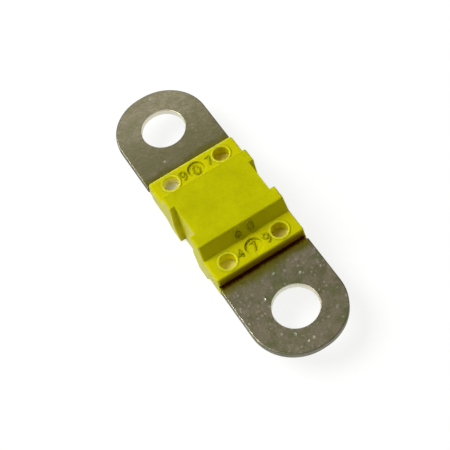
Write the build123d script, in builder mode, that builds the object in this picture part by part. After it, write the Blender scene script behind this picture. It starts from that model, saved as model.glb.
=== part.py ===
from build123d import *

import os
from math import radians, tan

# Midi fuse for two M5 studs: a stamped strip with its fusible link, clamped between two
# moulded shells. Lengths are in millimetres and angles in degrees.
#
# The origin lies midway between the two stud bores, on the strip's underside, which is the
# face that seats on the studs. X runs along the strip, Y across it, and Z up.

# --- Strip: the two terminals ---------------------------------------------------------------
stud_spacing = 30.0         # from one stud bore to the other
stud_bore_d = 5.5           # clears an M5 stud
strip_thickness = 0.8
terminal_width = 11.9
terminal_reach = 5.8        # from a stud bore's centre to the strip's end
terminal_end_flat = 0.5     # straight stretch in the middle of each rounded end
terminal_step = 0.45        # how far each side steps in where the strip enters the housing
terminal_step_r = 0.15      # rounds the outer corners of those steps
die_roll_r = 0.15           # rolled upper edge that stamping leaves round a terminal
bore_roll_r = 0.12          # the same round a stud bore

# --- Strip: the fusible link ----------------------------------------------------------------
link_width = 1.1
link_row_pitch = 2.0        # between the rows of the S
link_end_gap = 0.65         # from a turn of the S to the terminal it faces
link_root_r = 0.4           # fillet where the link meets a terminal

# --- Housing: outside -----------------------------------------------------------------------
body_length = 16.8          # at the parting plane
side_wall = 0.35            # outside the strip's seat, at the parting plane
shell_height = 3.8          # from the parting plane to the plateau
shoulder_height = 1.85      # from the parting plane to the low steps beside the plateau
shoulder_run = 3.43         # from the parting plane's end to the foot of the slope
slope_run = 0.87            # length of the slope between a shoulder and the plateau
end_draft = 12.0            # lean of the end faces
side_draft = 2.3            # lean of the long sides
corner_r = 0.3              # upright corners
edge_r = 0.22               # round the tops of the shoulders, slopes and plateau
notch_length = 4.6          # clip notch in the middle of each long side
notch_depth = 0.82          # from the long side at the parting plane
undercut_height = 0.5       # groove above the strip at the foot of each end face
undercut_depth = 0.7
undercut_cheek = 0.12       # wall left at each end of the groove

# --- Housing: inside ------------------------------------------------------------------------
roof_thickness = 0.8        # plateau wall over the link's chamber
chamber_end_wall = 0.5      # from the plateau's edge to the chamber
chamber_side_wall = 0.88    # from the bottom of a clip notch to the chamber
chamber_end_gap = 0.2       # from a terminal's inner end to the chamber's end wall
strip_clearance = 0.05      # between the strip's sides and its seat

# --- Openings and pins in the shoulders -----------------------------------------------------
pin_inset = 1.9             # from the parting plane's end to a pin
probe_hole_d = 2.1          # holes that bare the strip
probe_hole_spacing = 7.0    # across each shoulder
probe_rim = 0.15            # bevel round each hole
pin_d = 2.1
pin_clearance = 0.05        # round the pin, in the strip and in the upper shell
pin_recess = 0.35           # from a shoulder's face down to the end of its pin
pin_tip_bevel = 0.1

# --- Worked out from the values above -------------------------------------------------------
strip_length = stud_spacing + 2 * terminal_reach
terminal_corner_r = (terminal_width - terminal_end_flat) / 2
parting_z = strip_thickness / 2
seat_depth = strip_thickness / 2

neck_width = terminal_width - 2 * terminal_step
neck_length = body_length + 2 * strip_clearance
seat_width = neck_width + 2 * strip_clearance
body_width = seat_width + 2 * side_wall
plateau_width = body_width - 2 * shell_height * tan(radians(side_draft))

shoulder_length = body_length - 2 * shoulder_height * tan(radians(end_draft))
slope_foot_x = body_length / 2 - shoulder_run
plateau_length = 2 * (slope_foot_x - slope_run)
shoulder_z = parting_z + shoulder_height
plateau_z = parting_z + shell_height
pin_spacing = body_length - 2 * pin_inset
pin_hole_r = pin_d / 2 + pin_clearance

chamber_length = plateau_length - 2 * chamber_end_wall
chamber_width = body_width - 2 * (notch_depth + chamber_side_wall)
link_window = chamber_length - 2 * chamber_end_gap
link_turn_x = (link_window - link_width - link_row_pitch) / 2 - link_end_gap

parting_plane = Plane.XY.offset(parting_z)
shoulder_plane = Plane.XY.offset(shoulder_z)
tiny = 0.001                # tolerance for telling edges and corners apart


# --- Fuse strip -----------------------------------------------------------------------------
with BuildPart() as fuse_strip:
    with BuildSketch(Plane.XY):
        RectangleRounded(strip_length, terminal_width, terminal_corner_r)
        # Between the shells the strip is narrower, so each terminal ends in two small steps.
        with GridLocations(0, (terminal_width + neck_width) / 2, 1, 2):
            Rectangle(neck_length, (terminal_width - neck_width) / 2, mode=Mode.SUBTRACT)
        steps = vertices().filter_by_position(Axis.X, -neck_length / 2, neck_length / 2)
        fillet(steps.filter_by(lambda corner: abs(corner.Y) > seat_width / 2), terminal_step_r)
        # The window between the terminals, and the S-shaped link that bridges it.
        Rectangle(link_window, terminal_width, mode=Mode.SUBTRACT)
        with BuildLine() as link_path:
            first_row = Line((-link_window / 2, -link_row_pitch), (link_turn_x, -link_row_pitch))
            first_turn = JernArc(first_row @ 1, first_row % 1, link_row_pitch / 2, 180)
            middle_row = Line(first_turn @ 1, (-link_turn_x, 0))
            second_turn = JernArc(middle_row @ 1, middle_row % 1, link_row_pitch / 2, -180)
            Line(second_turn @ 1, (link_window / 2, link_row_pitch))
        trace(link_path.line, line_width=link_width)
        roots = vertices().filter_by(lambda corner: abs(corner.Y) < link_row_pitch + link_width)
        fillet(roots.filter_by(lambda corner: abs(abs(corner.X) - link_window / 2) < tiny), link_root_r)
        # Holes for the studs and for the housing's pins.
        with GridLocations(stud_spacing, 0, 2, 1):
            Circle(stud_bore_d / 2, mode=Mode.SUBTRACT)
        with GridLocations(pin_spacing, 0, 2, 1):
            Circle(pin_hole_r, mode=Mode.SUBTRACT)
    extrude(amount=strip_thickness)

    upper_face = faces().sort_by(Axis.Z)[-1]
    terminal_edges = upper_face.outer_wire().edges()
    terminal_edges = terminal_edges.filter_by(lambda edge: abs(edge.center().X) > body_length / 2)
    fillet(terminal_edges, die_roll_r)
    bore_edges = edges().filter_by(GeomType.CIRCLE).filter_by(
        lambda edge: abs(edge.radius - stud_bore_d / 2) < tiny
    )
    fillet(bore_edges.group_by(Axis.Z)[-1], bore_roll_r)


# --- Shell shape shared by both halves of the housing ----------------------------------------
with BuildPart() as shell:
    # Stepped side outline: end face, shoulder, slope and plateau, alike at both ends.
    with BuildSketch(Plane.XZ):
        with BuildLine():
            Polyline(
                (0, parting_z),
                (body_length / 2, parting_z),
                (shoulder_length / 2, shoulder_z),
                (slope_foot_x, shoulder_z),
                (plateau_length / 2, plateau_z),
                (0, plateau_z),
            )
            mirror(about=Plane.YZ)
        make_face()
    extrude(amount=body_width / 2, both=True)
    # End outline, which leans the long sides in towards the plateau.
    with BuildSketch(Plane.YZ):
        with BuildLine():
            Polyline(
                (0, parting_z),
                (body_width / 2, parting_z),
                (plateau_width / 2, plateau_z),
                (0, plateau_z),
            )
            mirror(about=Plane.YZ)
        make_face()
    extrude(amount=body_length / 2, both=True, mode=Mode.INTERSECT)

    end_faces = faces().sort_by(Axis.X)
    end_edges = end_faces[0].edges() + end_faces[-1].edges()
    fillet(end_edges.filter_by(Axis.Y, reverse=True), corner_r)
    upper_edges = edges().filter_by_position(Axis.Z, shoulder_z - tiny, plateau_z + tiny)
    fillet(upper_edges.filter_by(Edge.is_interior, reverse=True), edge_r)

    # Clip notch in the middle of each long side.
    with BuildSketch(parting_plane):
        with GridLocations(0, body_width - notch_depth, 1, 2):
            Rectangle(notch_length, notch_depth)
    extrude(amount=shell_height, mode=Mode.SUBTRACT)

    # Chamber round the link, and the seats that clamp the strip under each shoulder.
    with BuildSketch(parting_plane):
        Rectangle(chamber_length, chamber_width)
    extrude(amount=shell_height - roof_thickness, mode=Mode.SUBTRACT)
    with BuildSketch(parting_plane):
        Rectangle(body_length, seat_width)
        Rectangle(link_window - 2 * strip_clearance, body_width, mode=Mode.SUBTRACT)
    extrude(amount=seat_depth, mode=Mode.SUBTRACT)

    # Groove above the strip at the foot of each end face.
    with BuildSketch(parting_plane.offset(seat_depth)):
        with GridLocations(body_length, 0, 2, 1):
            Rectangle(2 * undercut_depth, body_width - 2 * undercut_cheek)
    extrude(amount=undercut_height, mode=Mode.SUBTRACT)

    # Round holes through the shoulders, which bare the strip.
    with Locations(shoulder_plane):
        with GridLocations(pin_spacing, probe_hole_spacing, 2, 2):
            Hole(probe_hole_d / 2)
    chamfer(edges(Select.LAST).group_by(Axis.Z)[-1], probe_rim)


# --- Upper shell: bored for the pins ----------------------------------------------------------
with BuildPart() as upper_shell:
    add(shell.part)
    with Locations(shoulder_plane):
        with GridLocations(pin_spacing, 0, 2, 1):
            Hole(pin_hole_r)


# --- Lower shell: the same shape upside down, with a pin on each shoulder -----------------------
with BuildPart() as lower_shell:
    mirror(shell.part, about=parting_plane)
    with BuildSketch(Plane.XY):
        with GridLocations(pin_spacing, 0, 2, 1):
            Circle(pin_d / 2)
    extrude(amount=shoulder_z - pin_recess)
    chamfer(edges(Select.LAST).group_by(Axis.Z)[-1], pin_tip_bevel)


# --- Labels and files ---------------------------------------------------------------------------
os.makedirs("parts", exist_ok=True)

fuse_strip.part.label = "fuse_strip"
export_step(fuse_strip.part, "parts/fuse_strip.step")

upper_shell.part.label = "upper_shell"
export_step(upper_shell.part, "parts/upper_shell.step")

lower_shell.part.label = "lower_shell"
export_step(lower_shell.part, "parts/lower_shell.step")
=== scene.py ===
"""Finishes, moulded marks, studio and camera for a bolt-down midi fuse.

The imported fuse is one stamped, tin-plated strip clamped between two yellow moulded shells. This
script dresses those three nodes, adds what the mould and the staking leave on the shells, and
stands the fuse on a pale table in soft light. Lengths are in metres, in the frame of the fuse:
X along the strip, Y across it, Z up through the upper shell.
"""

import logging
from dataclasses import dataclass, field, replace
from enum import Enum
from math import cos, radians, sin

import bmesh
import bpy
import numpy as np
from mathutils import Matrix, Vector

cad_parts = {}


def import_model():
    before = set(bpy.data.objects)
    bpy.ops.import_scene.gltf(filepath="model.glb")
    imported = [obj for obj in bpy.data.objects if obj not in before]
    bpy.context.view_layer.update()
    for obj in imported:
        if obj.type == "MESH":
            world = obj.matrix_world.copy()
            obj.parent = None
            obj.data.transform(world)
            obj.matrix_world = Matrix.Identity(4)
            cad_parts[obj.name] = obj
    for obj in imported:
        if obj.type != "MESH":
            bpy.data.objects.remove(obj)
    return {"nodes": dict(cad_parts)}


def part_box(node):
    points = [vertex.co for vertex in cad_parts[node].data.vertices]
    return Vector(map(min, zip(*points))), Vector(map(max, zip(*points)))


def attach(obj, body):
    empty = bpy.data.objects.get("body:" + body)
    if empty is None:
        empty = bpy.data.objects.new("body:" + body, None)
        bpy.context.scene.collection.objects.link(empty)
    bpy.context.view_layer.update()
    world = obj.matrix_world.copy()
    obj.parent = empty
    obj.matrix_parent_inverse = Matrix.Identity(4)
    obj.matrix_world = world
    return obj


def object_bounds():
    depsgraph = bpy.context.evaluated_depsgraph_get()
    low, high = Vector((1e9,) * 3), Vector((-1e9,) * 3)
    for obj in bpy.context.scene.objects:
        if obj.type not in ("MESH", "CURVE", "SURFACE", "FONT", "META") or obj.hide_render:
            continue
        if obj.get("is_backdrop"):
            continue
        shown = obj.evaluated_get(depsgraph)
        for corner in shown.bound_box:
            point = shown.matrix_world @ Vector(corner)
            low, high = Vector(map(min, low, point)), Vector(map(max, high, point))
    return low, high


MM = 0.001
WELD_DISTANCE = 1e-8
OVAL_POWER = 0.6  # squares off a stroke's section; 1 would leave it an ellipse
FIGURE_CENTRE = np.array([0.30, 0.50])  # of a figure's cell, which is one high

Colour = tuple[float, float, float, float]
Pair = tuple[float, float]
Socket = bpy.types.NodeSocket
Outputs = bpy.types.NodeOutputs

log = logging.getLogger("midi_fuse")


class Slot(Enum):
    """Material slots of the record."""

    PLASTIC = "yellow_plastic"


def rgb(red: float, green: float, blue: float) -> Colour:
    """Returns a scene-linear colour with full alpha."""
    return (red, green, blue, 1.0)


# --- Shader building blocks ---


class NodeSheet:
    """A node tree that is filled in one node at a time.

    Args:
        tree: The node tree of a material, a world or a group.
    """

    def __init__(self, tree: bpy.types.NodeTree) -> None:
        self.tree = tree
        self.column = 0

    def add(self, kind: str, settings: dict | None = None, **inputs: object) -> bpy.types.Node:
        """Adds a node, sets its properties and fills its inputs.

        Args:
            kind: Blender's identifier of the node.
            settings: Properties of the node, such as its operation.
            **inputs: Socket names, with spaces written as underscores, and what each one gets:
                a number, a colour, or the output socket to link.

        Returns:
            The new node.
        """
        node = self.tree.nodes.new(kind)
        node.location = (180 * self.column, 0)
        self.column += 1
        for name, value in (settings or {}).items():
            setattr(node, name, value)
        for name, value in inputs.items():
            self.feed(node.inputs[name.replace("_", " ")], value)
        return node

    def feed(self, socket: Socket, value: object) -> None:
        """Links an output socket to the given input, or stores a constant in it."""
        if isinstance(value, bpy.types.NodeSocket):
            self.tree.links.new(value, socket)
        else:
            socket.default_value = value

    def maths(self, operation: str, first: object, second: object = 0.0) -> Socket:
        """Returns the result of a Math node on one or two values."""
        node = self.add("ShaderNodeMath", {"operation": operation})
        self.feed(node.inputs[0], first)
        self.feed(node.inputs[1], second)
        return node.outputs[0]

    def product(self, *values: object) -> Socket:
        """Returns the product of the values."""
        total = values[0]
        for value in values[1:]:
            total = self.maths("MULTIPLY", total, value)
        return total

    def rest(self, value: object) -> Socket:
        """Returns one minus the value."""
        return self.maths("SUBTRACT", 1.0, value)

    def length(self, first: object, second: object) -> Socket:
        """Returns the root of the sum of the squares of two values."""
        squares = self.maths("ADD", self.maths("POWER", first, 2.0), self.maths("POWER", second, 2.0))
        return self.maths("SQRT", squares)

    def between(self, value: object, span: Pair) -> Socket:
        """Returns one where the value lies inside the span and nought elsewhere."""
        above = self.maths("GREATER_THAN", value, span[0])
        return self.product(above, self.maths("LESS_THAN", value, span[1]))

    def remap(
        self, value: object, low: float, high: float, to_low: float = 0.0, to_high: float = 1.0
    ) -> Socket:
        """Returns the value carried smoothly from [low, high] to [to_low, to_high], clamped."""
        ends = {"From_Min": low, "From_Max": high, "To_Min": to_low, "To_Max": to_high}
        node = self.add("ShaderNodeMapRange", {"interpolation_type": "SMOOTHSTEP"}, Value=value, **ends)
        return node.outputs["Result"]

    def ease(self, factor: object, ends: Pair) -> Socket:
        """Returns a number between the two ends, by the factor."""
        return self.remap(factor, 0.0, 1.0, *ends)

    def blend(self, factor: object, first: object, second: object) -> Socket:
        """Returns the first colour blended into the second by the factor."""
        node = self.add("ShaderNodeMix", {"data_type": "RGBA"})
        self.feed(node.inputs["Factor"], factor)
        self.feed(node.inputs[6], first)
        self.feed(node.inputs[7], second)
        return node.outputs[2]

    def noise(
        self, place: object, scale: object, detail: float, roughness: float = 0.5, curl: float = 0.0
    ) -> Socket:
        """Returns fractal noise between 0 and 1, in cycles per metre, curled by so many cycles."""
        node = self.add("ShaderNodeTexNoise", Vector=place, Scale=scale, Detail=detail)
        self.feed(node.inputs["Roughness"], roughness)
        self.feed(node.inputs["Distortion"], curl)
        return node.outputs["Fac"]

    def axes(self, vector: object) -> tuple[Socket, Socket, Socket]:
        """Returns the X, Y and Z of a vector."""
        return tuple(self.add("ShaderNodeSeparateXYZ", Vector=vector).outputs)


class Effect:
    """A shader node group that several materials share.

    Subclasses name their inputs and outputs and wire the group in `wire`.
    """

    title: str = ""
    inputs: tuple[tuple[str, str, object], ...] = ()
    outputs: tuple[tuple[str, str], ...] = ()

    def group(self) -> bpy.types.NodeTree:
        """Returns the group, which is built when it is first asked for."""
        found = bpy.data.node_groups.get(self.title)
        if found:
            return found
        tree = bpy.data.node_groups.new(self.title, "ShaderNodeTree")
        for name, kind, value in self.inputs:
            socket = tree.interface.new_socket(name=name, in_out="INPUT", socket_type=kind)
            if value is not None:
                socket.default_value = value
        for name, kind in self.outputs:
            tree.interface.new_socket(name=name, in_out="OUTPUT", socket_type=kind)
        sheet = NodeSheet(tree)
        entry = sheet.add("NodeGroupInput")
        results = self.wire(sheet, entry.outputs)
        leave = sheet.add("NodeGroupOutput")
        for name, socket in results.items():
            sheet.feed(leave.inputs[name], socket)
        return tree

    def wire(self, sheet: NodeSheet, given: Outputs) -> dict[str, Socket]:
        """Builds the nodes of the group.

        Args:
            sheet: The group's node tree.
            given: The group's inputs by name.

        Returns:
            The socket that feeds each output, by the output's name.
        """
        raise NotImplementedError

    def place(self, sheet: NodeSheet, **inputs: object) -> Outputs:
        """Puts the group into a material with its own values and returns its outputs."""
        node = sheet.add("ShaderNodeGroup", {"node_tree": self.group()}, **inputs)
        return node.outputs


class Mottle(Effect):
    """Soft patches at two sizes: broad clouds plus finer blots.

    Value = a half, plus the contrast times (0.5 clouds + 0.5 blots - a half), clamped.
    """

    title = "mottle"
    inputs = (
        ("Place", "NodeSocketVector", None),
        ("Cloud Scale", "NodeSocketFloat", 300.0),
        ("Blot Scale", "NodeSocketFloat", 1500.0),
        ("Contrast", "NodeSocketFloat", 1.0),
    )
    outputs = (("Value", "NodeSocketFloat"),)

    def wire(self, sheet: NodeSheet, given: Outputs) -> dict[str, Socket]:
        """Adds the two noises, centres their mean on a half and stretches it."""
        clouds = sheet.noise(given["Place"], given["Cloud Scale"], detail=2.0)
        blots = sheet.noise(given["Place"], given["Blot Scale"], detail=5.0, roughness=0.64, curl=1.1)
        mean = sheet.product(sheet.maths("ADD", clouds, blots), 0.5)
        centred = sheet.product(sheet.maths("SUBTRACT", mean, 0.5), given["Contrast"])
        value = sheet.add("ShaderNodeClamp", Value=sheet.maths("ADD", centred, 0.5))
        return {"Value": value.outputs[0]}


class Specks(Effect):
    """Sparse small dents: round spots inside a few cells of a Voronoi pattern.

    A cell has a spot where its random number is under Share. The spot's depth falls smoothly from
    one at the cell's point to nought at Size, in cells.
    """

    title = "specks"
    inputs = (
        ("Place", "NodeSocketVector", None),
        ("Scale", "NodeSocketFloat", 1000.0),
        ("Share", "NodeSocketFloat", 0.1),
        ("Size", "NodeSocketFloat", 0.25),
    )
    outputs = (("Mask", "NodeSocketFloat"),)

    def wire(self, sheet: NodeSheet, given: Outputs) -> dict[str, Socket]:
        """Measures the distance to the nearest point and keeps only some of the cells."""
        cells = sheet.add("ShaderNodeTexVoronoi", Vector=given["Place"], Scale=given["Scale"])
        lots = sheet.add("ShaderNodeSeparateColor", Color=cells.outputs["Color"])
        kept = sheet.maths("LESS_THAN", lots.outputs[0], given["Share"])
        reach = sheet.maths("DIVIDE", cells.outputs["Distance"], given["Size"])
        spot = sheet.ease(sheet.rest(reach), (0.0, 1.0))
        return {"Mask": sheet.product(spot, kept)}


class WornEdges(Effect):
    """A mask that is one on sharp edges and nought on flats.

    It compares the true normal with the normal of a rounded copy of the edges: the further apart
    the two point, the more the surface is an edge.
    """

    title = "worn edges"
    inputs = (("Radius", "NodeSocketFloat", 0.1 * MM), ("Gain", "NodeSocketFloat", 4.0))
    outputs = (("Mask", "NodeSocketFloat"),)

    def wire(self, sheet: NodeSheet, given: Outputs) -> dict[str, Socket]:
        """Turns the dot product of the two normals into a mask."""
        rounded = sheet.add("ShaderNodeBevel", {"samples": 6}, Radius=given["Radius"])
        true_normal = sheet.add("ShaderNodeNewGeometry").outputs["Normal"]
        product = sheet.add("ShaderNodeVectorMath", {"operation": "DOT_PRODUCT"})
        sheet.feed(product.inputs[0], rounded.outputs["Normal"])
        sheet.feed(product.inputs[1], true_normal)
        apart = sheet.rest(product.outputs["Value"])
        mask = sheet.add("ShaderNodeClamp", Value=sheet.product(apart, given["Gain"]))
        return {"Mask": mask.outputs[0]}


class FarLeft(Effect):
    """A mask that is one round the hole on the -X, -Y side, nought round the other three."""

    title = "far left"
    inputs = (("Place", "NodeSocketVector", None),)
    outputs = (("Mask", "NodeSocketFloat"),)

    def wire(self, sheet: NodeSheet, given: Outputs) -> dict[str, Socket]:
        """Multiplies a step along the fuse by a step across it."""
        along, across, _ = sheet.axes(given["Place"])
        far = sheet.remap(along, 0.0, -4.0 * MM)
        return {"Mask": sheet.product(far, sheet.remap(across, 0.0, -2.0 * MM))}


# --- Finishes ---


class Finish:
    """A procedural material. Subclasses are frozen dataclasses that hold its values."""

    title: str = ""

    def material(self) -> bpy.types.Material:
        """Returns the material, which is built when it is first asked for."""
        found = bpy.data.materials.get(self.title)
        if found:
            return found
        made = bpy.data.materials.new(self.title)
        made.use_nodes = True
        made.node_tree.nodes.clear()
        sheet = NodeSheet(made.node_tree)
        sheet.add("ShaderNodeOutputMaterial", Surface=self.shader(sheet))
        return made

    def shader(self, sheet: NodeSheet) -> Socket:
        """Builds the nodes of the material and returns the output of its last shader."""
        raise NotImplementedError


@dataclass(frozen=True)
class MouldedPlastic(Finish):
    """Semi-gloss yellow plastic: clear yellow where polished, duller on the matt plateau, partly by painted
    shade.

    Attributes:
        plateau_z: Height of the plateau.
        colour, shade: The two tones that the mottle blends.
        plateau_shaded_colour, plateau_shaded_dark: The same for the plateau, which the mould leaves matt;
        their darker tone is partly painted shade, for the lesser light the plateau gets than the shoulders.
        rub_and_highlight: Tone of rubbed edges, and of the painted highlight on the far shoulder's outer
            edge.
        painted_wall_glow, painted_wall_glow_pale: Painted light on the probe holes' smooth walls on the +Y
        and on the -Y side: lighter than the plastic, as if light glowed through it, and paler on the -Y
        side, where the light falls.
        painted_wall_reflection, painted_reflection_z: Painted reflection low on the wall of the -X, -Y
        hole, a pale tone standing for a reflection seen there, and where it fades.
        core_x, core_y, core_r: Where the probe holes' axes lie, and a radius just outside them.
        edge_x, edge_z: Where the far shoulder's outer edge runs; a painted highlight pales it.
        painted_pad_shade, pad_x: Painted shade on the plateau's far rounded edge, which dims the light it
            catches, and how far that edge lies from the middle.
        painted_groove_shading: Painted shade in the upper groove at the near end: a warm dark standing for
            the shadow there.
        foot, foot_x, foot_z: Painted shade on the near end face, darker towards that groove, and where it
            lies.
        groove_x, groove_y, groove_z: That groove's reach along, across and up.
        polished, matt: Roughness beside the plateau and on it.
        grain_scale, grain_depth: The mould's fine grain.
    """

    plateau_z: float
    title: str = "yellow moulded plastic"
    colour: Colour = rgb(0.68, 0.65, 0.0010)
    shade: Colour = rgb(0.615, 0.58, 0.0008)
    plateau_shaded_colour: Colour = rgb(0.65, 0.64, 0.0008)
    plateau_shaded_dark: Colour = rgb(0.515, 0.50, 0.0006)
    rub_and_highlight: Colour = rgb(0.84, 0.82, 0.09)
    painted_wall_glow: Colour = rgb(0.73, 0.66, 0.002)
    painted_wall_glow_pale: Colour = rgb(0.94, 0.88, 0.012)
    painted_wall_reflection: Colour = rgb(0.95, 0.88, 0.52)
    painted_reflection_z: Pair = (1.95 * MM, 1.35 * MM)
    core_x: float = 6.5 * MM
    core_y: float = 3.5 * MM
    core_r: float = 1.055 * MM
    edge_x: float = 8.0 * MM
    edge_z: float = 2.25 * MM
    painted_pad_shade: Colour = rgb(0.47, 0.455, 0.0006)
    pad_x: float = 4.1 * MM
    painted_groove_shading: Colour = rgb(0.30, 0.09, 0.002)
    foot: Colour = rgb(0.25, 0.11, 0.0008)
    foot_x: float = 7.85 * MM
    foot_z: Pair = (2.30 * MM, 1.31 * MM)
    groove_x: Pair = (7.6 * MM, 8.19 * MM)
    groove_y: float = 5.75 * MM
    groove_z: Pair = (0.40 * MM, 1.31 * MM)
    polished: float = 0.38
    matt: float = 0.50
    grain_scale: float = 9000.0
    grain_depth: float = 0.004 * MM

    def shader(self, sheet: NodeSheet) -> Socket:
        """Lays the faces, the holes' walls and the painted shade of the near end over one another, with
        grain as bump.
        """
        place = sheet.add("ShaderNodeTexCoord").outputs["Object"]
        height = sheet.axes(place)[2]
        pad = sheet.remap(height, self.plateau_z - 0.30 * MM, self.plateau_z - 0.16 * MM)
        rubbed = self.add_wear(sheet, place, self.faces(sheet, place, pad))
        colour = self.add_painted_shade(sheet, place, self.add_walls(sheet, place, rubbed))
        grain = sheet.noise(place, self.grain_scale, detail=2.0)
        bump = sheet.add("ShaderNodeBump", Strength=1.0, Distance=self.grain_depth, Height=grain)
        plastic = sheet.add(
            "ShaderNodeBsdfPrincipled",
            Base_Color=colour,
            Roughness=sheet.ease(pad, (self.polished, self.matt)),
            Normal=bump.outputs["Normal"],
            IOR=1.46,
            Specular_IOR_Level=0.12,
            Specular_Tint=rgb(1.0, 0.95, 0.12),
            Subsurface_Weight=0.8,
            Subsurface_Radius=(1.0, 0.9, 0.1),
            Subsurface_Scale=0.55 * MM,
        )
        return plastic.outputs["BSDF"]

    def faces(self, sheet: NodeSheet, place: Socket, pad: Socket) -> Socket:
        """Returns the mottled colour: the plateau's darker tones, partly painted shade, where the pad mask
        is one.
        """
        mottle = Mottle().place(sheet, Place=place, Cloud_Scale=260.0, Blot_Scale=1300.0, Contrast=3.0)
        beside = sheet.blend(mottle["Value"], self.shade, self.colour)
        # The plateau's darker tones are partly the matt finish, partly painted shade.
        plateau = sheet.blend(mottle["Value"], self.plateau_shaded_dark, self.plateau_shaded_colour)
        return sheet.blend(pad, beside, plateau)

    def add_wear(self, sheet: NodeSheet, place: Socket, under: Socket) -> Socket:
        """Paints shade on the plateau's far edge, pales the edges that handling has rubbed, and paints a
        highlight on the far shoulder's outer edge.
        """
        along, _, height = sheet.axes(place)
        # Painted shade: the plateau's far rounded edge is darkened to dim the light it catches.
        from_pad = sheet.length(
            sheet.maths("ADD", along, self.pad_x), sheet.maths("SUBTRACT", height, self.plateau_z)
        )
        eased = sheet.blend(sheet.remap(from_pad, 0.34 * MM, 0.16 * MM, 0.0, 0.65), under, self.painted_pad_shade)
        edges = WornEdges().place(sheet, Radius=0.12 * MM, Gain=2.5)["Mask"]
        low = sheet.remap(height, self.plateau_z - 0.15 * MM, self.plateau_z - 0.35 * MM, 0.0, 0.28)
        from_end = sheet.length(
            sheet.maths("SUBTRACT", sheet.product(along, -1.0), self.edge_x),
            sheet.maths("SUBTRACT", height, self.edge_z),
        )
        # Painted highlight: a pale line along the far shoulder's outer edge, where light catches it.
        painted_edge_highlight = sheet.remap(from_end, 0.30 * MM, 0.12 * MM, 0.0, 0.45)
        return sheet.blend(sheet.maths("MAXIMUM", painted_edge_highlight, sheet.product(edges, low)), eased, self.rub_and_highlight)

    def add_walls(self, sheet: NodeSheet, place: Socket, under: Socket) -> Socket:
        """Adds the probe holes' walls, smooth from the core pins, with painted light, and a painted
        reflection low in one of them.
        """
        along, across, height = sheet.axes(place)
        from_core = sheet.length(
            sheet.maths("SUBTRACT", sheet.maths("ABSOLUTE", along), self.core_x),
            sheet.maths("SUBTRACT", sheet.maths("ABSOLUTE", across), self.core_y),
        )
        far_left_hole = FarLeft().place(sheet, Place=place)["Mask"]
        # Painted reflection: a pale tone low on the wall of the -X, -Y hole.
        painted_reflection_mask = sheet.product(far_left_hole, sheet.remap(height, *self.painted_reflection_z, 0.0, 0.95))
        # Painted light: the probe holes' walls are lighter than the plastic, and paler on the -Y side,
        # where the light falls.
        plain = sheet.blend(sheet.remap(across, 1.0 * MM, -1.0 * MM), self.painted_wall_glow, self.painted_wall_glow_pale)
        walls = sheet.blend(painted_reflection_mask, plain, self.painted_wall_reflection)
        return sheet.blend(sheet.maths("LESS_THAN", from_core, self.core_r), under, walls)

    def add_painted_shade(self, sheet: NodeSheet, place: Socket, under: Socket) -> Socket:
        """Paints shade in the near upper groove, and on the end face above it, darker towards the groove.
        """
        along, across, height = sheet.axes(place)
        aside = sheet.maths("ABSOLUTE", across)
        inner = sheet.remap(aside, self.groove_y, self.groove_y - 0.25 * MM)
        end_face = sheet.product(
            sheet.remap(along, self.foot_x, self.foot_x + 0.1 * MM),
            sheet.between(height, (self.groove_z[0], self.foot_z[0])),
        )
        lowness = sheet.product(inner, sheet.remap(height, *self.foot_z, 0.15, 0.95))
        # Painted shade: the near end face darkens towards the groove.
        end_shaded = sheet.blend(sheet.product(end_face, lowness), under, self.foot)
        grooved = sheet.product(
            sheet.between(along, self.groove_x),
            sheet.between(height, self.groove_z),
            sheet.maths("LESS_THAN", aside, self.groove_y),
        )
        # Painted shade: a warm dark in the near upper groove.
        return sheet.blend(grooved, end_shaded, self.painted_groove_shading)


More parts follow.
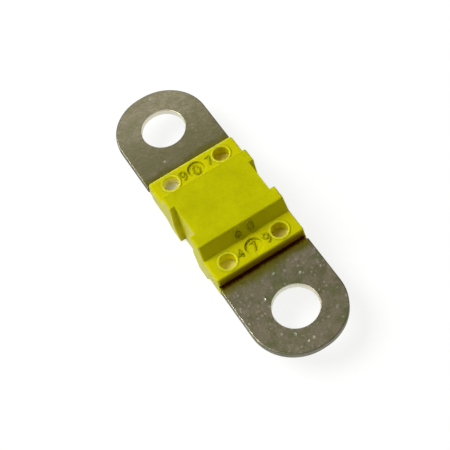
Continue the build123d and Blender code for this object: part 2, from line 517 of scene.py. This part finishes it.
@dataclass(frozen=True)
class TinPlate(Finish):
    """Dull tin plating on a stamped strip: mottled and pricked, but smooth inside the housing.

    Attributes:
        housing_x: Half the housing's length; the strip is smooth and clean between the shells.
        bore_x: Distance of the stud bores from the middle.
        bore_r: A radius just outside the bores.
        pale, dark: The plating's two tones.
        warm, cool: Stains that tint it in broad patches.
        painted_sheen: Painted glints and reflection: the pale tone of the pricks, the worn edges and the
            bores' sides.
        sheared: Tone of the sheared outer sides.
        tinge: Yellower tone that the far terminal nears towards the housing.
        soil_and_reflection: Olive tone that the plating nears along the housing: partly dirt, partly a
            painted reflection of the yellow end faces and painted shade.
        painted_groove_shading: Painted shade and reflection in the grooves under the housing's end faces
            and just outside them, a dark yellow.
        painted_bounce: Painted bounce light inside the housing: the yellow that the plastic walls cast on
            the strip, seen down the probe holes.
        painted_floor_reflection: Painted reflection: a pale tone on the strip under the -X, -Y probe hole,
            standing for the surroundings its floor mirrors.
        roughness: Roughness of the palest and of the darkest plating.
        rolled_roughness, housed_roughness: The least on rolled edges and in the housing.
        fall, fall_x: What the far terminal's tone gains along the strip, and from where to where.
        rise, rise_x: The same for the near terminal.
        soil_weight, bore_reflection_weight: Strength of the olive tone, partly dirt and partly painted
            reflection, and of the bores' painted reflection.
        bump_depth, dent_depth: Depth of the relief, and of the dents as a share of it.
        lean: Slope of the relief under the -X, -Y hole, which tips the metal there.
        film: How metallic the strip is in the housing, on the -Y and on the +Y side.
        probed_film: The least of that under the -X, -Y hole.
    """

    housing_x: float
    title: str = "dull tin plate"
    bore_x: float = 15.0 * MM
    bore_r: float = 3.0 * MM
    pale: Colour = rgb(0.68, 0.64, 0.47)
    dark: Colour = rgb(0.34, 0.315, 0.195)
    warm: Colour = rgb(0.68, 0.60, 0.46)
    cool: Colour = rgb(0.39, 0.435, 0.21)
    tinge: Colour = rgb(0.42, 0.40, 0.19)
    painted_sheen: Colour = rgb(0.90, 0.88, 0.78)
    sheared: Colour = rgb(0.17, 0.165, 0.13)
    soil_and_reflection: Colour = rgb(0.34, 0.315, 0.02)
    painted_groove_shading: Colour = rgb(0.58, 0.50, 0.015)
    painted_bounce: Colour = rgb(0.92, 0.84, 0.20)
    painted_floor_reflection: Colour = rgb(1.0, 0.98, 0.80)
    roughness: Pair = (0.14, 0.24)
    rolled_roughness: float = 0.6
    housed_roughness: float = 0.36
    fall: Pair = (0.28, -0.22)
    fall_x: Pair = (-19.5 * MM, -9.0 * MM)
    rise: Pair = (-0.07, 0.16)
    rise_x: Pair = (12.5 * MM, 20.0 * MM)
    soil_weight: float = 0.85
    bore_reflection_weight: float = 0.8
    bump_depth: float = 0.03 * MM
    dent_depth: float = 0.75
    lean: float = -9100.0
    probed_film: float = 0.75
    film: Pair = (0.4, 0.9)

    def shader(self, sheet: NodeSheet) -> Socket:
        """Joins the plating's colour, relief, film and roughness.

        A pair that is eased by near holds the values for the far and for the near terminal.
        """
        coordinates = sheet.add("ShaderNodeTexCoord").outputs
        place = coordinates["Object"]
        along, across, _ = sheet.axes(place)
        reach = sheet.maths("ABSOLUTE", along)
        near = sheet.remap(along, -2.0 * MM, 2.0 * MM)
        outside = sheet.remap(reach, self.housing_x - 0.8 * MM, self.housing_x - 0.7 * MM)
        far_left_hole = FarLeft().place(sheet, Place=place)["Mask"]
        level = sheet.maths("ABSOLUTE", sheet.axes(coordinates["Normal"])[2])
        rolled = sheet.remap(level, 0.9995, 0.96)
        stain = sheet.noise(place, 620.0, detail=3.0, roughness=0.55)
        ragged = sheet.maths("ADD", reach, sheet.remap(stain, 0.3, 0.7, -0.25 * MM, 0.25 * MM))
        soiled = sheet.remap(ragged, self.housing_x + 1.7 * MM, self.housing_x + 0.5 * MM)
        clear = sheet.product(outside, sheet.rest(sheet.maths("MAXIMUM", soiled, rolled)))
        contrast = sheet.ease(near, (3.0, 9.0))
        mottle = Mottle().place(sheet, Place=place, Cloud_Scale=800.0, Blot_Scale=1900.0, Contrast=contrast)
        tone = mottle["Value"]
        share = sheet.ease(near, (0.09, 0.34))
        specks = Specks().place(sheet, Place=place, Scale=1300.0, Share=share, Size=0.36)["Mask"]

        # Painted light inside the housing: yellow bounce, and a pale reflection under the -X, -Y hole.
        painted_housed_light = sheet.blend(far_left_hole, self.painted_bounce, self.painted_floor_reflection)
        plated_and_housed = sheet.blend(outside, painted_housed_light, self.plating(sheet, place, near, tone, stain))
        # The olive band along the housing: partly dirt, partly painted reflection and shade.
        soil_reflection_share = sheet.product(outside, self.soil_weight, soiled)
        with_soil_reflection = sheet.blend(soil_reflection_share, plated_and_housed, self.soil_and_reflection)
        # Painted shade and reflection: a dark-yellow tone on the strip where it runs under the housing's
        # ends.
        sheltered = sheet.remap(reach, self.housing_x + 0.50 * MM, self.housing_x - 0.05 * MM)
        groove_shaded = sheet.blend(sheet.product(sheltered, outside), with_soil_reflection, self.painted_groove_shading)
        from_bore = sheet.length(sheet.maths("SUBTRACT", reach, self.bore_x), across)
        outer = sheet.remap(from_bore, self.bore_r, self.bore_r + 0.1 * MM)
        side = sheet.remap(level, 0.97, 0.55)
        # Painted reflection: the bores' sides take the pale glint tone.
        painted_bore_reflection = sheet.product(side, sheet.ease(outer, (self.bore_reflection_weight, 0.0)))
        sheared = sheet.product(outer, sheet.ease(near, (0.95, 0.8)), rolled)
        cut = sheet.blend(sheared, sheet.blend(painted_bore_reflection, groove_shaded, self.painted_sheen), self.sheared)
        # Painted glints: the dents, flecks and worn edges take the pale tone.
        shiny = sheet.product(self.glints(sheet, place, near, specks), clear)

        film = sheet.remap(across, -1.0 * MM, 1.0 * MM, *self.film)
        filmed = sheet.maths("MAXIMUM", sheet.product(far_left_hole, self.probed_film), film)
        rough = sheet.ease(tone, self.roughness[::-1])
        rougher = sheet.maths("MAXIMUM", sheet.product(rolled, self.rolled_roughness), rough)
        least = sheet.ease(outside, (self.housed_roughness, 0.0))
        dished = sheet.product(far_left_hole, sheet.rest(outside))
        lean = sheet.product(dished, sheet.product(along, self.lean))
        metal = sheet.add(
            "ShaderNodeBsdfPrincipled",
            Base_Color=sheet.blend(shiny, cut, self.painted_sheen),
            Metallic=sheet.maths("MAXIMUM", outside, filmed),
            Roughness=sheet.maths("MAXIMUM", least, rougher),
            Normal=self.relief(sheet, place, near, specks, clear, lean),
        )
        return metal.outputs["BSDF"]

    def plating(
        self, sheet: NodeSheet, place: Socket, near: Socket, tone: Socket, stain: Socket
    ) -> Socket:
        """Returns the stained colour of the open flats, from the mottle and the stains' noise."""
        along, far = sheet.axes(place)[0], sheet.rest(near)
        grit = sheet.noise(place, 5600.0, detail=3.0, roughness=0.6)
        shaken = sheet.remap(grit, 0.36, 0.64, -0.22, 0.22)
        fine = sheet.maths("ADD", tone, sheet.product(shaken, sheet.ease(near, (0.3, 1.0))))
        falling = sheet.remap(along, *self.fall_x)
        sloped = sheet.maths("ADD", fine, sheet.product(sheet.ease(falling, self.fall), far))
        rising = sheet.remap(along, *self.rise_x, *self.rise)
        shaded = sheet.maths("ADD", sloped, sheet.product(rising, near))
        toned = sheet.blend(shaded, self.dark, self.pale)
        tinged = sheet.blend(sheet.product(far, 0.5, falling), toned, self.tinge)
        strength = sheet.ease(near, (0.35, 1.0))
        warmth = sheet.product(sheet.remap(stain, 0.44, 0.78), strength)
        coolth = sheet.product(sheet.remap(stain, 0.56, 0.28), strength)
        return sheet.blend(coolth, sheet.blend(warmth, tinged, self.warm), self.cool)

    def glints(self, sheet: NodeSheet, place: Socket, near: Socket, specks: Socket) -> Socket:
        """Returns where the painted glints go: the dents, the flecks and the worn edges."""
        share = sheet.ease(near, (0.08, 0.34))
        flecks = Specks().place(sheet, Place=place, Scale=2100.0, Share=share, Size=0.45)["Mask"]
        faint = sheet.product(flecks, sheet.ease(near, (0.4, 0.95)))
        edges = WornEdges().place(sheet, Radius=0.12 * MM, Gain=3.0)["Mask"]
        return sheet.maths("MAXIMUM", sheet.product(edges, 0.12), sheet.maths("MAXIMUM", specks, faint))

    def relief(
        self, sheet: NodeSheet, place: Socket, near: Socket, specks: Socket, clear: Socket, lean: Socket
    ) -> Socket:
        """Returns the normal of the ripple and dents, strong where clear, on top of the lean."""
        ripple = sheet.noise(place, 2000.0, detail=4.0, roughness=0.6)
        dents = sheet.maths("SUBTRACT", ripple, sheet.product(specks, self.dent_depth))
        strength = sheet.product(sheet.ease(near, (0.6, 1.0)), sheet.ease(clear, (0.1, 1.0)))
        height = sheet.maths("ADD", sheet.product(dents, strength), lean)
        bump = sheet.add("ShaderNodeBump", Strength=1.0, Distance=self.bump_depth, Height=height)
        return bump.outputs["Normal"]


@dataclass(frozen=True)
class Table(Finish):
    """A white matt table. Camera and reflections see it paler than it lights the fuse.

    Attributes:
        colour: Its colour where it lights the fuse.
        seen_colour, lift: Its shaded colour for camera and reflections, and the white on top.
    """

    title: str = "white table"
    colour: Colour = rgb(0.80, 0.80, 0.79)
    seen_colour: Colour = rgb(0.24, 0.24, 0.24)
    lift: float = 0.84

    def shader(self, sheet: NodeSheet) -> Socket:
        """Adds a plain white to the table's shaded colour, for the rays that see it directly."""
        rays = sheet.add("ShaderNodeLightPath").outputs
        seen = sheet.maths("MAXIMUM", rays["Is Camera Ray"], rays["Is Glossy Ray"])
        seen = sheet.maths("MAXIMUM", seen, rays["Is Transmission Ray"])
        tone = sheet.blend(seen, self.colour, self.seen_colour)
        matt = sheet.add("ShaderNodeBsdfDiffuse", Color=tone, Roughness=0.5)
        lift = sheet.product(seen, self.lift)
        white = sheet.add("ShaderNodeEmission", Color=rgb(1.0, 1.0, 1.0), Strength=lift)
        both = sheet.add("ShaderNodeAddShader")
        sheet.feed(both.inputs[0], matt.outputs[0])
        sheet.feed(both.inputs[1], white.outputs[0])
        return both.outputs[0]


# --- Surfaces ---


def grid_faces(rows: int, columns: int, ring: bool = False) -> np.ndarray:
    """Returns the quads of a grid of points that closes on itself along its columns.

    Args:
        rows: Number of rows of points.
        columns: Number of points in each row; the last one joins the first.
        ring: Whether the last row joins the first too.

    Returns:
        Four point indices a face, for points numbered row by row.
    """
    row, column = np.meshgrid(np.arange(rows if ring else rows - 1), np.arange(columns), indexing="ij")
    start, below = row * columns, (row + 1) % rows * columns
    after = (column + 1) % columns
    corners = (start + column, below + column, below + after, start + after)
    return np.stack([corner.ravel() for corner in corners], axis=1)


@dataclass
class Surface:
    """Points and quads of one closed shape.

    Attributes:
        points: One row of X, Y and Z a point.
        faces: Four point indices a face.
    """

    points: np.ndarray
    faces: np.ndarray

    @staticmethod
    def joined(parts: list["Surface"]) -> "Surface":
        """Returns several surfaces as one, with their faces renumbered."""
        starts = np.cumsum([0] + [len(part.points) for part in parts[:-1]])
        faces = [part.faces + start for part, start in zip(parts, starts)]
        return Surface(np.concatenate([part.points for part in parts]), np.concatenate(faces))

    def placed(self, origin: np.ndarray, across: np.ndarray, up: np.ndarray) -> "Surface":
        """Returns the surface carried to a plane: its x along across, its y along up."""
        axes = np.stack([across, up, np.cross(across, up)])
        return Surface(self.points @ axes + origin, self.faces)

    def piece(self, name: str, finish: Finish, slot: Slot) -> bpy.types.Object:
        """Makes the surface a smooth mesh object that rides with the fuse.

        Args:
            name: The piece's name.
            finish: Its material.
            slot: Not used.

        Returns:
            The new object.
        """
        mesh = bpy.data.meshes.new(name)
        mesh.from_pydata(self.points.tolist(), [], self.faces.tolist())
        mesh.polygons.foreach_set("use_smooth", np.ones(len(mesh.polygons), dtype=bool))
        mesh.materials.append(finish.material())
        made = bpy.data.objects.new(name, mesh)
        bpy.context.scene.collection.objects.link(made)
        merge_doubles(made)
        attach(made, "root")
        log.info("made %s with %d faces", name, len(self.faces))
        return made


def merge_doubles(made: bpy.types.Object) -> None:
    """Welds points that coincide, such as those of a pole, and turns the normals outwards."""
    welded = bmesh.new()
    welded.from_mesh(made.data)
    bmesh.ops.remove_doubles(welded, verts=welded.verts, dist=WELD_DISTANCE)
    bmesh.ops.recalc_face_normals(welded, faces=welded.faces)
    welded.to_mesh(made.data)
    welded.free()


def revolved(profile: np.ndarray, steps: int = 96) -> Surface:
    """Turns a closed profile of radius and height about the z axis.

    A point of radius r and height h at turn t goes to (r cos t, r sin t, h).

    Args:
        profile: Radius and height of each point, in order round the profile.
        steps: Points round the axis.

    Returns:
        The ring or disc.
    """
    turn = np.linspace(0.0, 2.0 * np.pi, steps, endpoint=False)
    radius, height = profile[:, 0], profile[:, 1]
    x = np.outer(np.cos(turn), radius)
    y = np.outer(np.sin(turn), radius)
    z = np.broadcast_to(height, x.shape)
    points = np.stack([x, y, z], axis=-1).reshape(-1, 3)
    return Surface(points, grid_faces(steps, len(profile), ring=True))


def ridge(path: np.ndarray, width: float, height: float, sides: int = 16) -> Surface:
    """Carries a flat-topped oval along a path in the plane, as a raised stroke half sunk in it.

    At turn t the section is (w/2 c, h s), where c and s are the cosine and sine of t raised to the
    power OVAL_POWER with their sign kept. Near both ends it shrinks as a quarter circle does.

    Args:
        path: X and Y of the points along the stroke.
        width: Full width of the stroke.
        height: How far it stands above the plane.
        sides: Points round the section.

    Returns:
        The closed ridge.
    """
    step = np.gradient(path, axis=0)
    step /= np.linalg.norm(step, axis=1, keepdims=True)
    left = np.stack([-step[:, 1], step[:, 0]], axis=1)
    travel = np.concatenate([[0.0], np.cumsum(np.linalg.norm(np.diff(path, axis=0), axis=1))])
    from_end = np.minimum(travel, travel[-1] - travel) / (width / 2.0)
    swell = np.sqrt(1.0 - (1.0 - np.clip(from_end, 0.0, 1.0)) ** 2)
    turn = np.linspace(0.0, 2.0 * np.pi, sides, endpoint=False)
    sideways = np.sign(np.cos(turn)) * np.abs(np.cos(turn)) ** OVAL_POWER * width / 2.0
    upwards = np.sign(np.sin(turn)) * np.abs(np.sin(turn)) ** OVAL_POWER * height
    flat = path[:, None, :] + left[:, None, :] * (swell[:, None] * sideways[None, :])[:, :, None]
    points = np.concatenate([flat, (swell[:, None] * upwards[None, :])[:, :, None]], axis=2)
    return Surface(points.reshape(-1, 3), grid_faces(len(path), sides))


# --- Numerals ---


@dataclass(frozen=True)
class Bow:
    """Part of an ellipse in a numeral: centre, half axes, and turn from start to end in degrees."""

    x: float
    y: float
    wide: float
    tall: float
    start: float
    end: float

    def points(self) -> np.ndarray:
        """Returns points along the bow, about six degrees apart."""
        count = max(2, int(abs(self.end - self.start) / 6.0) + 1)
        turn = np.radians(np.linspace(self.start, self.end, count))
        return np.stack([self.x + self.wide * np.cos(turn), self.y + self.tall * np.sin(turn)], axis=1)


@dataclass(frozen=True)
class Dash:
    """A straight run in a numeral, from one point to another."""

    x0: float
    y0: float
    x1: float
    y1: float

    def points(self) -> np.ndarray:
        """Returns points along the run."""
        share = np.linspace(0.0, 1.0, 12)[:, None]
        return (1.0 - share) * np.array([self.x0, self.y0]) + share * np.array([self.x1, self.y1])


class Numeral(Enum):
    """Plain figures in a cell one high and 0.6 wide, each a list of strokes."""

    ZERO = ((Bow(0.30, 0.50, 0.26, 0.46, 90.0, 450.0),),)
    FOUR = ((Dash(0.40, 0.96, 0.04, 0.34), Dash(0.04, 0.34, 0.58, 0.34)), (Dash(0.40, 0.96, 0.40, 0.04),))
    SIX = ((Bow(0.48, 0.38, 0.42, 0.58, 95.0, 180.0), Bow(0.31, 0.29, 0.24, 0.25, 180.0, 540.0)),)
    SEVEN = ((Dash(0.06, 0.96, 0.54, 0.96), Dash(0.54, 0.96, 0.22, 0.04)),)
    NINE = ((Bow(0.12, 0.62, 0.42, 0.58, -85.0, 0.0), Bow(0.29, 0.71, 0.24, 0.25, 0.0, 360.0)),)

    def surface(self, height: float, stroke: float, relief: float) -> Surface:
        """Builds the figure centred on the origin, upright along y.

        Args:
            height: Height of the figure.
            stroke: Width of its strokes.
            relief: How far the strokes stand proud.

        Returns:
            Its ridges as one surface.
        """
        ridges = []
        for runs in self.value:
            path = np.concatenate([run.points() for run in runs])
            keep = np.concatenate([[True], np.linalg.norm(np.diff(path, axis=0), axis=1) > 1e-3])
            path = (path[keep] - FIGURE_CENTRE) * height
            ridges.append(ridge(path, stroke, relief))
        return Surface.joined(ridges)


# --- The fuse ---


def put_on(node: bpy.types.Object, finish: Finish) -> None:
    """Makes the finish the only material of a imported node."""
    node.data.materials.clear()
    node.data.materials.append(finish.material())
    log.info("dressed %s in %s", node.name, finish.title)


@dataclass
class Housing:
    """The two moulded shells and the marks on them.

    Attributes:
        upper, lower: The shells' nodes.
        middle_z: Height of the parting plane.
        plateau_z: Height of the plateau.
        end_x: Half the housing's length.
        shoulder_rise: From the parting plane to the shoulders.
        shoulder_run: From the housing's end to the foot of the slope.
        slope_run: Length of the slope seen from above.
        pin_inset: From the housing's end to the pins and probe holes.
        hole_radius, hole_spacing: The probe holes and their spacing across.
        pin_radius, pin_depth: The pins' bores and how deep the pins' ends lie.
        pin_dome, pin_foot: How far a pin's end bulges, and how far down it is filled.
        figure_height, figure_stroke, figure_relief: The raised numerals.
        slope_figure_y: How far each numeral on the slope lies from the middle.
    """

    upper: bpy.types.Object
    lower: bpy.types.Object
    middle_z: float
    plateau_z: float
    end_x: float
    shoulder_rise: float = 1.85 * MM
    shoulder_run: float = 3.43 * MM
    slope_run: float = 0.87 * MM
    pin_inset: float = 1.9 * MM
    hole_radius: float = 1.05 * MM
    hole_spacing: float = 7.0 * MM
    pin_radius: float = 1.1 * MM
    pin_depth: float = 0.30 * MM
    pin_dome: float = 0.04 * MM
    pin_foot: float = 0.3 * MM
    figure_height: float = 1.35 * MM
    figure_stroke: float = 0.25 * MM
    figure_relief: float = 0.14 * MM
    slope_figure_y: float = 0.85 * MM

    def __post_init__(self) -> None:
        """Works out the finishes, which need the plateau's height, and the places of the marks."""
        self.finish = MouldedPlastic(plateau_z=self.plateau_z)
        # The rims' paler plastic is a painted highlight on the lips.
        self.rim_highlight_finish = replace(
            self.finish,
            title="yellow moulded plastic, rims with painted highlight",
            colour=rgb(0.82, 0.79, 0.03),
            shade=rgb(0.70, 0.66, 0.01),
            polished=0.3,
        )
        # The figures' darker plastic is painted shade on the raised strokes, darker still on the slope.
        self.figure_shade_finish = replace(
            self.finish,
            title="yellow moulded plastic, figures with painted shade",
            colour=rgb(0.44, 0.41, 0.0010),
            shade=rgb(0.38, 0.35, 0.0008),
        )
        self.slope_figure_shade_finish = replace(
            self.finish,
            title="yellow moulded plastic, slope figures with painted shade",
            colour=rgb(0.36, 0.335, 0.0010),
            shade=rgb(0.30, 0.275, 0.0008),
        )
        self.shoulder_z = self.middle_z + self.shoulder_rise
        self.pin_x = self.end_x - self.pin_inset

    def dress(self) -> None:
        """Gives both shells their plastic."""
        put_on(self.upper, self.finish)
        put_on(self.lower, self.finish)

    def build(self) -> None:
        """Adds the rims, the staked pin ends and the numerals."""
        self.add_rims()
        self.add_pin_ends()
        self.add_numerals()

    def add_rims(self) -> None:
        """Adds a low moulded lip round each probe hole, above and below, in a paler plastic that paints
        their highlight.
        """
        # Out from the hole's wall, and up from the shoulder, in order round the lip.
        inside = [(-0.01, -0.24), (-0.07, -0.08), (-0.06, 0.02), (0.0, 0.09)]
        outside = [(0.07, 0.12), (0.14, 0.10), (0.19, 0.05), (0.26, 0.0), (0.26, -0.05)]
        profile = np.array(inside + outside) * MM + (self.hole_radius, 0.0)
        lip = revolved(profile)
        hole_y = self.hole_spacing / 2.0
        rims = []
        for x, y, keep, turn in (
            (-self.pin_x, -hole_y, 0.45, 0.6),
            (-self.pin_x, hole_y, 0.55, 0.9),
            (self.pin_x, -hole_y, 0.20, 2.3),
            (self.pin_x, hole_y, 0.50, 1.6),
        ):
            worn = self.worn_lip(lip.points, keep, turn)
            rims.append(Surface(worn + np.array([x, y, self.shoulder_z]), lip.faces))
        Surface.joined(rims).piece("upper_rims", self.rim_highlight_finish, Slot.PLASTIC)
        flipped = [Surface(mirrored(rim.points, self.middle_z), rim.faces[:, ::-1]) for rim in rims]
        Surface.joined(flipped).piece("lower_rims", self.rim_highlight_finish, Slot.PLASTIC)

    def worn_lip(self, points: np.ndarray, keep: float, turn: float) -> np.ndarray:
        """Lowers a lip's crest unevenly round the hole.

        At angle t the crest keeps a share of its height: the least share, plus the rest times
        the square of the cosine of (t - turn) / 2, with a ripple of a tenth five times round.

        Args:
            points: The lip's points about the hole's axis.
            keep: The least share of its height.
            turn: Angle of the full crest, in radians.

        Returns:
            The points with the crest lowered.
        """
        angle = np.arctan2(points[:, 1], points[:, 0])
        share = keep + (1.0 - keep) * np.cos((angle - turn) / 2.0) ** 2
        share = np.clip(share + 0.1 * np.sin(5.0 * angle + turn), 0.05, 1.0)
        height = np.where(points[:, 2] > 0.0, points[:, 2] * share, points[:, 2])
        return np.column_stack([points[:, :2], height])

    def add_pin_ends(self) -> None:
        """Fills each pin's bore with the pin's staked, slightly domed end."""
        radius, depth = self.pin_radius, self.pin_depth
        share = np.linspace(0.0, 1.0, 9)
        dome = np.stack([share * radius, -depth - self.pin_dome * share**2], axis=1)
        foot = np.array([(radius, -depth - self.pin_foot), (0.0, -depth - self.pin_foot)])
        end = revolved(np.concatenate([dome, foot]))
        ends = [
            Surface(end.points + np.array([x, 0.0, self.shoulder_z]), end.faces)
            for x in (-self.pin_x, self.pin_x)
        ]
        Surface.joined(ends).piece("pin_ends", self.finish, Slot.PLASTIC)

    def add_numerals(self) -> None:
        """Sets plain figures on the shoulders, in the pin recesses and on the near slope, in darker plastic
        that paints their shade.
        """
        across = np.array([0.0, 1.0, 0.0])
        back = np.array([-1.0, 0.0, 0.0])
        gap_y = (self.pin_radius + self.hole_spacing / 2.0 - self.hole_radius) / 2.0
        figures = []
        for x, left, middle, right in (
            (-self.pin_x, Numeral.NINE, Numeral.ZERO, Numeral.SEVEN),
            (self.pin_x, Numeral.FOUR, Numeral.SEVEN, Numeral.NINE),
        ):
            row = ((-gap_y, left, 0.0), (0.0, middle, self.pin_depth), (gap_y, right, 0.0))
            for y, numeral, depth in row:
                origin = np.array([x, y, self.shoulder_z - depth])
                figures.append(self.figure(numeral).placed(origin, across, back))
        Surface.joined(figures).piece("shoulder_numerals", self.figure_shade_finish, Slot.PLASTIC)

        rise = self.plateau_z - self.shoulder_z
        slope_up = np.array([-self.slope_run, 0.0, rise])
        foot = np.array([self.end_x - self.shoulder_run, 0.0, self.shoulder_z])
        middle = foot + slope_up / 2.0
        up = slope_up / np.linalg.norm(slope_up)
        pair = [
            self.figure(numeral).placed(middle + across * y, across, up)
            for numeral, y in ((Numeral.SIX, -self.slope_figure_y), (Numeral.ZERO, self.slope_figure_y))
        ]
        Surface.joined(pair).piece("slope_numerals", self.slope_figure_shade_finish, Slot.PLASTIC)

    def figure(self, numeral: Numeral) -> Surface:
        """Returns a raised figure of the housing's size, centred on the origin."""
        return numeral.surface(self.figure_height, self.figure_stroke, self.figure_relief)


def mirrored(points: np.ndarray, height: float) -> np.ndarray:
    """Returns the points mirrored in a level plane at the height."""
    return np.column_stack([points[:, :2], 2.0 * height - points[:, 2]])


# --- Studio and camera ---


def direction(azimuth: float, elevation: float) -> Vector:
    """Returns the unit vector at an azimuth from +X towards +Y and an elevation, in degrees."""
    turn, rise = radians(azimuth), radians(elevation)
    return Vector((cos(turn) * cos(rise), sin(turn) * cos(rise), sin(rise)))


@dataclass
class Lamp:
    """A square soft lamp that faces the fuse.

    Attributes:
        name: The lamp's name.
        azimuth, elevation: Degrees from +X towards +Y, and above the table, seen from the fuse.
        distance: From the fuse to the lamp.
        size: Side of the square.
        watts: Power.
        tint: Colour of the light.
    """

    name: str
    azimuth: float
    elevation: float
    distance: float
    size: float
    watts: float
    tint: tuple[float, float, float]

    def hang(self) -> None:
        """Creates the lamp."""
        light = bpy.data.lights.new(self.name, "AREA")
        light.size = self.size
        light.energy = self.watts
        light.color = self.tint
        lamp = bpy.data.objects.new(self.name, light)
        away = direction(self.azimuth, self.elevation)
        lamp.location = away * self.distance
        lamp.rotation_mode = "QUATERNION"
        lamp.rotation_quaternion = away.to_track_quat("Z", "Y")
        bpy.context.scene.collection.objects.link(lamp)


@dataclass
class Studio:
    """The pale table, the soft lamps and the plain surroundings.

    Attributes:
        table_z: Height of the table's surface.
        table_side: Side of the square table.
        world_low, world_high: Brightness of the surroundings at the horizon and overhead, for
            everything but the camera.
        world_tint: Their colour.
        lamps: The lamps.
    """

    table_z: float
    table_side: float = 4.0
    world_low: float = 0.10
    world_high: float = 0.24
    world_tint: Colour = rgb(1.0, 0.94, 0.80)
    lamps: list[Lamp] = field(
        default_factory=lambda: [
            Lamp("window", -130.0, 52.0, distance=0.6, size=0.36, watts=3.37, tint=(0.97, 1.0, 1.0)),
            Lamp("wall", 162.0, 38.0, distance=0.7, size=0.36, watts=0.12, tint=(1.0, 0.97, 0.88)),
        ]
    )

    def build(self) -> None:
        """Makes the table, the world and the lamps."""
        self.lay_table()
        self.fill_world()
        for lamp in self.lamps:
            lamp.hang()

    def lay_table(self) -> None:
        """Lays a flat square under the fuse and marks it as stage."""
        half = self.table_side / 2
        corners = np.array([(-half, -half), (half, -half), (half, half), (-half, half)])
        points = np.column_stack([corners, np.full(4, self.table_z)])
        mesh = bpy.data.meshes.new("table")
        mesh.from_pydata(points.tolist(), [], [(0, 1, 2, 3)])
        mesh.materials.append(Table().material())
        table = bpy.data.objects.new("table", mesh)
        bpy.context.scene.collection.objects.link(table)
        table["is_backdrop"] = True

    def fill_world(self) -> None:
        """Gives the world a dim warm grey, brighter overhead, which the camera sees as white."""
        world = bpy.data.worlds.new("surroundings")
        world.use_nodes = True
        world.node_tree.nodes.clear()
        sheet = NodeSheet(world.node_tree)
        seen = sheet.add("ShaderNodeLightPath").outputs["Is Camera Ray"]
        ray = sheet.add("ShaderNodeTexCoord").outputs["Generated"]
        rise = sheet.add("ShaderNodeSeparateXYZ", Vector=ray).outputs["Z"]
        level = sheet.remap(rise, 0.0, 0.8, self.world_low, self.world_high)
        dim = sheet.add("ShaderNodeBackground", Color=self.world_tint, Strength=level)
        white = sheet.add("ShaderNodeBackground", Color=rgb(1.0, 1.0, 1.0), Strength=1.0)
        mixed = sheet.add("ShaderNodeMixShader", Fac=seen)
        sheet.feed(mixed.inputs[1], dim.outputs[0])
        sheet.feed(mixed.inputs[2], white.outputs[0])
        sheet.add("ShaderNodeOutputWorld", Surface=mixed.outputs[0])
        bpy.context.scene.world = world


@dataclass
class Viewpoint:
    """The camera, looking down at the fuse from beyond its near terminal.

    Attributes:
        target: The point in the middle of the picture.
        distance: From the target to the camera.
        azimuth: Direction from the target to the camera, in degrees from +X towards +Y.
        elevation: Height of the camera above the table, in degrees.
        roll: Clockwise turn of the camera about its line of sight, in degrees.
        lens: Focal length in millimetres, on a sensor 36 mm wide.
    """

    target: Vector = field(default_factory=lambda: Vector((0.895, -0.829, 0.0)) * MM)
    distance: float = 145.74 * MM
    azimuth: float = -17.78
    elevation: float = 58.48
    roll: float = 15.95
    lens: float = 99.3

    def build(self) -> None:
        """Creates the camera and makes it the scene's own."""
        away = direction(self.azimuth, self.elevation)
        level = Vector((0.0, 0.0, 1.0)).cross(away).normalized()
        upright = away.cross(level)
        aim = Matrix((level, upright, away)).transposed()
        data = bpy.data.cameras.new("camera")
        data.lens = self.lens
        data.sensor_width = 36.0
        data.clip_start = 1.0 * MM
        camera = bpy.data.objects.new("camera", data)
        camera.rotation_mode = "QUATERNION"
        camera.rotation_quaternion = (aim @ Matrix.Rotation(radians(-self.roll), 3, "Z")).to_quaternion()
        camera.location = self.target + away * self.distance
        bpy.context.scene.collection.objects.link(camera)
        bpy.context.scene.camera = camera


def main() -> None:
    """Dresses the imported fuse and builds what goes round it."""
    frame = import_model()
    cad_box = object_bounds()
    bpy.context.scene.view_settings.view_transform = "Standard"
    nodes = frame["nodes"]
    shell_low, shell_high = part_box("upper_shell")

    put_on(nodes["fuse_strip"], TinPlate(housing_x=shell_high.x))
    housing = Housing(
        upper=nodes["upper_shell"],
        lower=nodes["lower_shell"],
        middle_z=shell_low.z,
        plateau_z=shell_high.z,
        end_x=shell_high.x,
    )
    housing.dress()
    housing.build()
    Studio(table_z=cad_box[0].z).build()
    Viewpoint().build()


if __name__ == "__main__":
    logging.basicConfig(level=logging.INFO, format="%(name)s: %(message)s")
    main()
